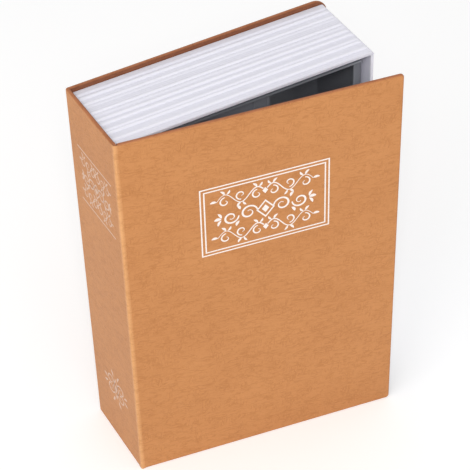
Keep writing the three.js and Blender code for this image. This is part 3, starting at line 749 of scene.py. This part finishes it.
def foil(name, body, place, strips, material):
    """Thin ribbons on a flat face. Each strip is (left points, right points, closed)."""
    verts, faces = [], []
    for left, right, closed in strips:
        base = len(verts)
        n = len(left)
        for lift in (FOIL, -FOIL_SINK):
            verts += [place(u, v, lift) for u, v in left]
            verts += [place(u, v, lift) for u, v in right]
        for i in range(n if closed else n - 1):
            j = (i + 1) % n
            lt, rt, lb, rb = base, base + n, base + 2 * n, base + 3 * n
            faces += [
                (lt + i, lt + j, rt + j, rt + i), (lb + i, rb + i, rb + j, lb + j),
                (lt + i, lb + i, lb + j, lt + j), (rt + i, rt + j, rb + j, rb + i),
            ]
        if not closed:
            for i in (0, n - 1):
                faces.append((base + i, base + n + i, base + 3 * n + i, base + 2 * n + i))
    return piece(name, verts, faces, body, "white_foil", material)


def rectangle(u0, u1, v0, v1, width):
    """A mitred rectangular line, its outer edge on the given box."""
    outer = [(u0, v0), (u1, v0), (u1, v1), (u0, v1)]
    inner = [(u0 + width, v0 + width), (u1 - width, v0 + width)]
    inner += [(u1 - width, v1 - width), (u0 + width, v1 - width)]
    return outer, inner, True


def lozenge(u, v, du, dv, width=None):
    """A lozenge, solid or as a line of the given width."""
    outer = [(u - du, v), (u, v - dv), (u + du, v), (u, v + dv)]
    scale = LOZENGE_EYE if width is None else 1 - width * math.hypot(du, dv) / (du * dv)
    return outer, [(u + (a - u) * scale, v + (b - v) * scale) for a, b in outer], True


def ribbon(points, widths):
    """A line through points whose width follows a list."""
    left, right = [], []
    for i, (u, v) in enumerate(points):
        before, after = points[max(i - 1, 0)], points[min(i + 1, len(points) - 1)]
        du, dv = after[0] - before[0], after[1] - before[1]
        size = math.hypot(du, dv) or 1.0
        half = widths[i] / 2
        left.append((u - dv / size * half, v + du / size * half))
        right.append((u + dv / size * half, v - du / size * half))
    return left, right, False


def scroll(u, v, radius, start, turns, line):
    """A spiral that winds in from its radius to a small eye."""
    points, widths = [], []
    steps = int(abs(turns) * SCROLL_STEPS)
    for i in range(steps + 1):
        share = i / steps
        r = radius * (1 - share) + radius * SCROLL_EYE * share
        a = math.radians(start) + math.tau * turns * share
        points.append((u + r * math.cos(a), v + r * math.sin(a)))
        widths.append(line * (0.45 + 0.75 * math.sin(math.pi * min(1, share * 1.1 + 0.12)) ** 0.7))
    return ribbon(points, widths)


def leaf(u, v, length, degrees, width):
    """A pointed leaf from a stem point."""
    a = math.radians(degrees)
    points, widths = [], []
    for i in range(LEAF_STEPS + 1):
        share = i / LEAF_STEPS
        bend = 0.12 * length * math.sin(math.pi * share)
        points.append((
            u + length * share * math.cos(a) - bend * math.sin(a),
            v + length * share * math.sin(a) + bend * math.cos(a),
        ))
        widths.append(max(LEAF_TIP, width * math.sin(math.pi * share) ** 0.8))
    return ribbon(points, widths)


def mirrored(strips, across_v=False):
    """The strips and their mirror images to the left, and then also downwards if asked."""
    out = list(strips)
    for fu, fv in [(-1, 1), (1, -1)] if across_v else [(-1, 1)]:
        out += [
            ([(u * fu, v * fv) for u, v in left], [(u * fu, v * fv) for u, v in right], closed)
            for left, right, closed in out
        ]
    return out


def moved(strips, u0, v0):
    """The strips moved by u0 and v0."""
    return [
        ([(u0 + u, v0 + v) for u, v in left], [(u0 + u, v0 + v) for u, v in right], closed)
        for left, right, closed in strips
    ]


def vine(half_width, height, line):
    """Half of a running vine from the middle outwards: a wave with three curls and their leaves.

    Its numbers are shares of the pitch, the height and the line, and angles in degrees.
    """
    strips = []
    pitch = half_width / 3
    points, widths = [], []
    for i in range(VINE_STEPS + 1):
        share = i / VINE_STEPS
        u = 0.12 * pitch + (half_width - 0.12 * pitch) * share
        points.append((u, height * 0.30 * math.sin(math.pi * u / pitch)))
        widths.append(line * (0.95 - 0.55 * share))
    strips.append(ribbon(points, widths))
    for k in range(3):
        u = pitch * (k + 0.5)
        side = 1 if k % 2 == 0 else -1
        strips.append(scroll(u, -side * height * 0.10, height * 0.26, 90 * side, -0.95 * side, line * 0.9))
        strips.append(leaf(u, side * height * 0.30, height * 0.30, 50 * side, line * 1.7))
        strips.append(leaf(u - pitch * 0.12, side * height * 0.30, height * 0.26, 125 * side, line * 1.5))
    strips.append(leaf(half_width, 0, pitch * 0.42, 0, line * 2.0))
    return strips


def medallion(half_width, height, line):
    """Half of the middle row: two curls and a spray of leaves, by the same shares."""
    return [
        scroll(half_width * 0.30, height * 0.02, height * 0.40, 180, -1.35, line),
        scroll(half_width * 0.62, -height * 0.02, height * 0.36, 180, 1.35, line),
        leaf(half_width * 0.45, height * 0.30, height * 0.30, 60, line * 1.8),
        leaf(half_width * 0.47, -height * 0.32, height * 0.30, -60, line * 1.8),
        leaf(half_width * 0.79, 0, half_width * 0.13, 0, line * 2.2),
        leaf(half_width * 0.79, height * 0.05, height * 0.34, 62, line * 1.6),
        leaf(half_width * 0.79, -height * 0.05, height * 0.34, -62, line * 1.6),
    ]


def panel_ornament(half_width, row, line):
    """Three symmetrical rows: a vine, a medallion and a vine."""
    strips = moved(mirrored(vine(half_width * 0.86, row, line)), 0, row * 1.02)
    strips += moved(mirrored(vine(half_width * 0.86, row, line)), 0, -row * 1.02)
    strips += mirrored(medallion(half_width, row, line * 1.15))
    strips += [lozenge(0, 0, row * 0.42, row * 0.50, line), lozenge(0, 0, row * 0.17, row * 0.21)]
    strips += [lozenge(0, v, row * 0.13, row * 0.17) for v in (row * 1.02, -row * 1.02)]
    return strips


# Front panel: a double-line frame (from u, to u, from v, to v) round an ornament, from the fold axis
FRAME_BOX = (41.6, 113.5, 151.6, 197.7)
FRAME_LINE = 0.75
FRAME_STEP = 2.1
FRONT_ORNAMENT = {"half_width": 31, "row": 12.2, "line": 0.8}
u0, u1, v0, v1 = FRAME_BOX
front_strips = [
    rectangle(u0, u1, v0, v1, FRAME_LINE),
    rectangle(u0 + FRAME_STEP, u1 - FRAME_STEP, v0 + FRAME_STEP, v1 - FRAME_STEP, FRAME_LINE),
]
front_strips += moved(panel_ornament(**FRONT_ORNAMENT), (u0 + u1) / 2, (v0 + v1) / 2)
foil(
    "front_foil", "front_cover",
    lambda u, v, lift: on_front(u, -HALF + FOIL - lift, v), front_strips, mat_foil,
)

# Spine: an ornament between two rules, and a smaller one near the foot
MIDDLE_Y = (AXIS_Y - HALF + BACK_Y) / 2
SPINE_SHIFT = -0.9
RULE_HALF = 19.4
RULE_LINE = 0.8
RULES_Z = (209.3, 173.6)
SPINE_ORNAMENT = {"half_width": 18.5, "row": 10.2, "line": 0.72}
FOOT_ORNAMENT_Z = 43
spine_strips = [ribbon([(-RULE_HALF, z), (RULE_HALF, z)], [RULE_LINE] * 2) for z in RULES_Z]
spine_strips += moved(panel_ornament(**SPINE_ORNAMENT), 0, sum(RULES_Z) / 2)
foot_ornament = mirrored([
    scroll(6.2, 3.0, 4.4, 200, -1.3, 0.8),
    leaf(2.6, 8.0, 5.2, 62, 1.7),
    leaf(10.4, 1.0, 4.4, 25, 1.6),
], across_v=True)
foot_ornament += [lozenge(0, 0, 3.6, 8.8, 0.8), lozenge(0, 0, 1.3, 3.4)]
spine_strips += moved(foot_ornament, 0, FOOT_ORNAMENT_Z)
foil(
    "spine_foil", "case",
    lambda u, v, lift: (SPINE_X + FOIL - lift, MIDDLE_Y + SPINE_SHIFT + u, v),
    spine_strips, mat_spine_foil,
)

# Floor and light, in metres and watts
FLOOR_SIZE = 6.0
FLOOR_LEVEL = -0.0001
FLOOR_COLOR = (0.96, 0.96, 0.96)
FLOOR_PATCHES = (400, 400, 400)
FLOOR_PATCH_COLOR = (0.94, 0.94, 0.95)
FLOOR_GLOW = 0.17
WORLD_STRENGTH = 0.6

# Each softbox is (name, direction from the object, distance, side, power)
SOFTBOXES = [
    ("key", (-0.351, -0.652, 0.672), 2.2, 0.4, 13),
    ("soft", (-0.3, -0.65, 0.75), 2.2, 1.8, 6),
    ("side", (-0.8, -0.35, 0.5), 3.5, 2.5, 26),
]
floor_graph = Graph("floor", FLOOR_COLOR, 0.9, Specular_IOR_Level=0.0, Emission_Strength=FLOOR_GLOW)
floor_graph.shader.inputs["Emission Color"].default_value = (1, 1, 1, 1)
floor_graph.paint(floor_graph.tint(
    floor_graph.ramp(floor_graph.noise(FLOOR_PATCHES).outputs["Fac"], 0.3, 0.7, 0, 0.2),
    FLOOR_PATCH_COLOR,
))
floor_mesh = bpy.data.meshes.new("floor")
floor_mesh.from_pydata(
    [(x * FLOOR_SIZE, y * FLOOR_SIZE, FLOOR_LEVEL) for x, y in ((-1, -1), (1, -1), (1, 1), (-1, 1))],
    [], [(0, 1, 2, 3)],
)
floor = bpy.data.objects.new("floor", floor_mesh)
bpy.context.scene.collection.objects.link(floor)
floor_mesh.materials.append(floor_graph.material)

world = bpy.data.worlds.new("studio")
bpy.context.scene.world = world
world.use_nodes = True
background = world.node_tree.nodes["Background"]
background.inputs["Color"].default_value = (1.0, 1.0, 1.0, 1)
background.inputs["Strength"].default_value = WORLD_STRENGTH
MIDDLE_X = 2.5
MIDDLE = Vector((MIDDLE_X, MIDDLE_Y, HEIGHT / 2)) * MM


def softbox(name, direction, distance, size, power):
    """A square area light in a direction from the object's middle, facing it."""
    data = bpy.data.lights.new(name, "AREA")
    data.shape = "SQUARE"
    data.size = size
    data.energy = power
    obj = bpy.data.objects.new(name, data)
    bpy.context.scene.collection.objects.link(obj)
    away = Vector(direction).normalized()
    obj.location = MIDDLE + away * distance
    obj.rotation_euler = (-away).to_track_quat("-Z", "Y").to_euler()


for box in SOFTBOXES:
    softbox(*box)

# Camera at the photo's viewing angle: distance and steps in metres, lens and sensor in millimetres
AZIMUTH = math.radians(-28.313)
ELEVATION = math.radians(42.168)
ROLL = math.radians(-1.833)
DISTANCE = 1.00438
LENS = 138.313
SENSOR = 36
SIDE_STEP = 0.0003178
UP_STEP = 0.0024921
back = Vector((
    math.sin(AZIMUTH) * math.cos(ELEVATION),
    -math.cos(AZIMUTH) * math.cos(ELEVATION),
    math.sin(ELEVATION),
))
right = (-back).cross(Vector((0, 0, 1))).normalized()
up = right.cross(-back)
camera_x = right * math.cos(ROLL) + up * math.sin(ROLL)
camera_y = up * math.cos(ROLL) - right * math.sin(ROLL)
camera_data = bpy.data.cameras.new("camera")
camera_data.lens = LENS
camera_data.sensor_width = SENSOR
camera_data.clip_start = 0.05
camera_data.clip_end = 50
camera = bpy.data.objects.new("camera", camera_data)
bpy.context.scene.collection.objects.link(camera)
place = MIDDLE + back * DISTANCE + camera_x * SIDE_STEP + camera_y * UP_STEP
camera.matrix_world = Matrix((
    (camera_x.x, camera_y.x, back.x, place.x),
    (camera_x.y, camera_y.y, back.y, place.y),
    (camera_x.z, camera_y.z, back.z, place.z),
    (0, 0, 0, 1),
))
bpy.context.scene.camera = camera
bpy.context.scene.view_settings.view_transform = "Standard"
